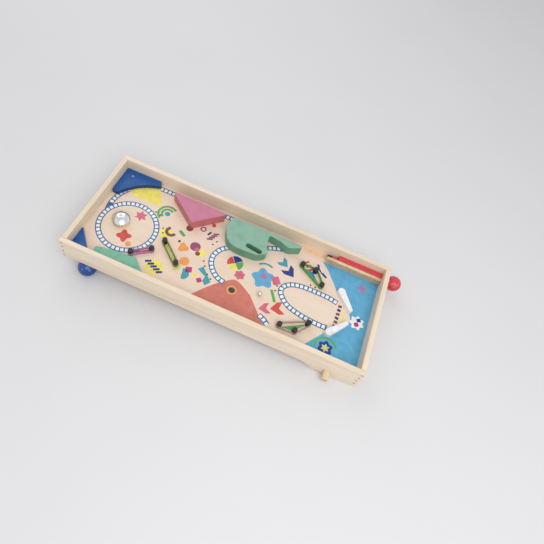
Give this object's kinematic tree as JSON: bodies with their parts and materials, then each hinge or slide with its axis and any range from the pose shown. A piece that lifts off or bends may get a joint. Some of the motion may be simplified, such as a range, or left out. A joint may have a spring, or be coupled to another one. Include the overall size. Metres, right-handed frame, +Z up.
{
  "type": "tabletop pinball game",
  "caption": "Wooden tabletop pinball tray on ball feet, with a pull-back plunger, push-button flippers, elastic bumpers, raised blocks, a bell and a steel ball.",
  "frame": {"origin": "centre of the bounding box on the table plane, with the tray standing on its two ball feet and its player end", "axes": "+Z up, +Y towards the raised head end, +X to the player's right, where the plunger is"},
  "size_m": [0.342, 0.7696, 0.103],
  "materials": {
    "wall_wood": "clear satin",
    "frame_wood": "clear satin",
    "dowel_wood": "plain",
    "printed_board": "printed, satin",
    "cover_board": "plain",
    "screw_steel": "zinc",
    "blue_paint": "gloss paint",
    "navy_paint": "satin paint",
    "sea_green_paint": "satin paint",
    "pink_paint": "satin paint",
    "green_paint": "satin paint",
    "bell_metal": "polished",
    "spring_steel": "bright",
    "black_pegs": "matte",
    "lilac_band": "matte",
    "olive_band": "matte",
    "rose_band": "matte",
    "leaf_band": "matte",
    "red_paint": "gloss paint",
    "black_rubber": "matte",
    "white_plastic": "gloss",
    "crank_plastic": "matte",
    "ball_steel": "polished"
  },
  "bodies": {
    "tray": {"bell_base": "frame_wood", "bell_dome": "bell_metal", "bell_nut": "bell_metal", "bell_post": "spring_steel", "block_screws": "screw_steel", "corner_dowels": "dowel_wood", "cover_screws": "screw_steel", "far_corner_block": "navy_paint", "foot_dowels": "dowel_wood", "green_block": "green_paint", "head_batten": "frame_wood", "head_wall": "wall_wood", "lane_divider": "frame_wood", "left_foot_ball": "blue_paint", "left_kicker_band": "rose_band", "left_kicker_posts": "black_pegs", "left_push_guide": "frame_wood", "left_return_spring": "spring_steel", "left_side_wall": "wall_wood", "loop_band": "lilac_band", "loop_block": "sea_green_paint", "loop_posts": "black_pegs", "mechanism_batten": "frame_wood", "mechanism_cover": "cover_board", "middle_batten": "frame_wood", "near_corner_block": "navy_paint", "pink_block": "pink_paint", "player_wall": "wall_wood", "playfield_board": "printed_board", "plunger_housing": "red_paint", "plunger_spring": "spring_steel", "right_foot_ball": "blue_paint", "right_kicker_band": "leaf_band", "right_kicker_posts": "black_pegs", "right_push_guide": "frame_wood", "right_return_spring": "spring_steel", "right_side_wall": "wall_wood", "slant_band": "olive_band", "slant_posts": "black_pegs"},
    "plunger": {"plunger_rod": "red_paint", "plunger_knob": "red_paint", "plunger_collar": "spring_steel", "plunger_tip": "black_rubber"},
    "left_button": {"left_push_rod": "frame_wood", "left_push_pin": "spring_steel"},
    "right_button": {"right_push_rod": "frame_wood", "right_push_pin": "spring_steel"},
    "left_flipper": {"left_flipper_blade": "white_plastic", "left_flipper_axle": "spring_steel", "left_flipper_crank": "crank_plastic"},
    "right_flipper": {"right_flipper_blade": "white_plastic", "right_flipper_axle": "spring_steel", "right_flipper_crank": "crank_plastic"},
    "ball": {"steel_ball": "ball_steel"}
  },
  "joints": [
    {"name": "plunger_pull", "type": "slide", "parent": "tray", "child": "plunger", "axis": [0, -0.9991, -0.0433], "range_m": [0, 0.03], "stiffness_N_per_m": 120, "springref_m": -0.015, "deforming": ["plunger_spring"]},
    {"name": "left_button_press", "type": "slide", "parent": "tray", "child": "left_button", "axis": [1, 0, 0], "range_m": [0, 0.0189], "stiffness_N_per_m": 150, "springref_m": -0.006, "deforming": ["left_return_spring"]},
    {"name": "right_button_press", "type": "slide", "parent": "tray", "child": "right_button", "axis": [-1, 0, 0], "range_m": [0, 0.0189], "stiffness_N_per_m": 150, "springref_m": -0.006, "deforming": ["right_return_spring"]},
    {"name": "left_flipper_swing", "type": "hinge", "parent": "tray", "child": "left_flipper", "pos_m": [-0.06975, -0.25033, 0.03458], "axis": [0, -0.0433, 0.9991], "range_deg": [0, 40]},
    {"name": "right_flipper_swing", "type": "hinge", "parent": "tray", "child": "right_flipper", "pos_m": [0.04625, -0.25033, 0.03458], "axis": [0, 0.0433, -0.9991], "range_deg": [0, 40]},
    {"name": "ball_roll", "type": "slide", "parent": "tray", "child": "ball", "axis": [0, -0.9991, -0.0433], "range_m": [0, 0.158]}
  ],
  "couplings": [
    {"joint": "left_flipper_swing", "follows": "left_button_press", "rad_per_m": 36.887},
    {"joint": "right_flipper_swing", "follows": "right_button_press", "rad_per_m": 36.887}
  ]
}
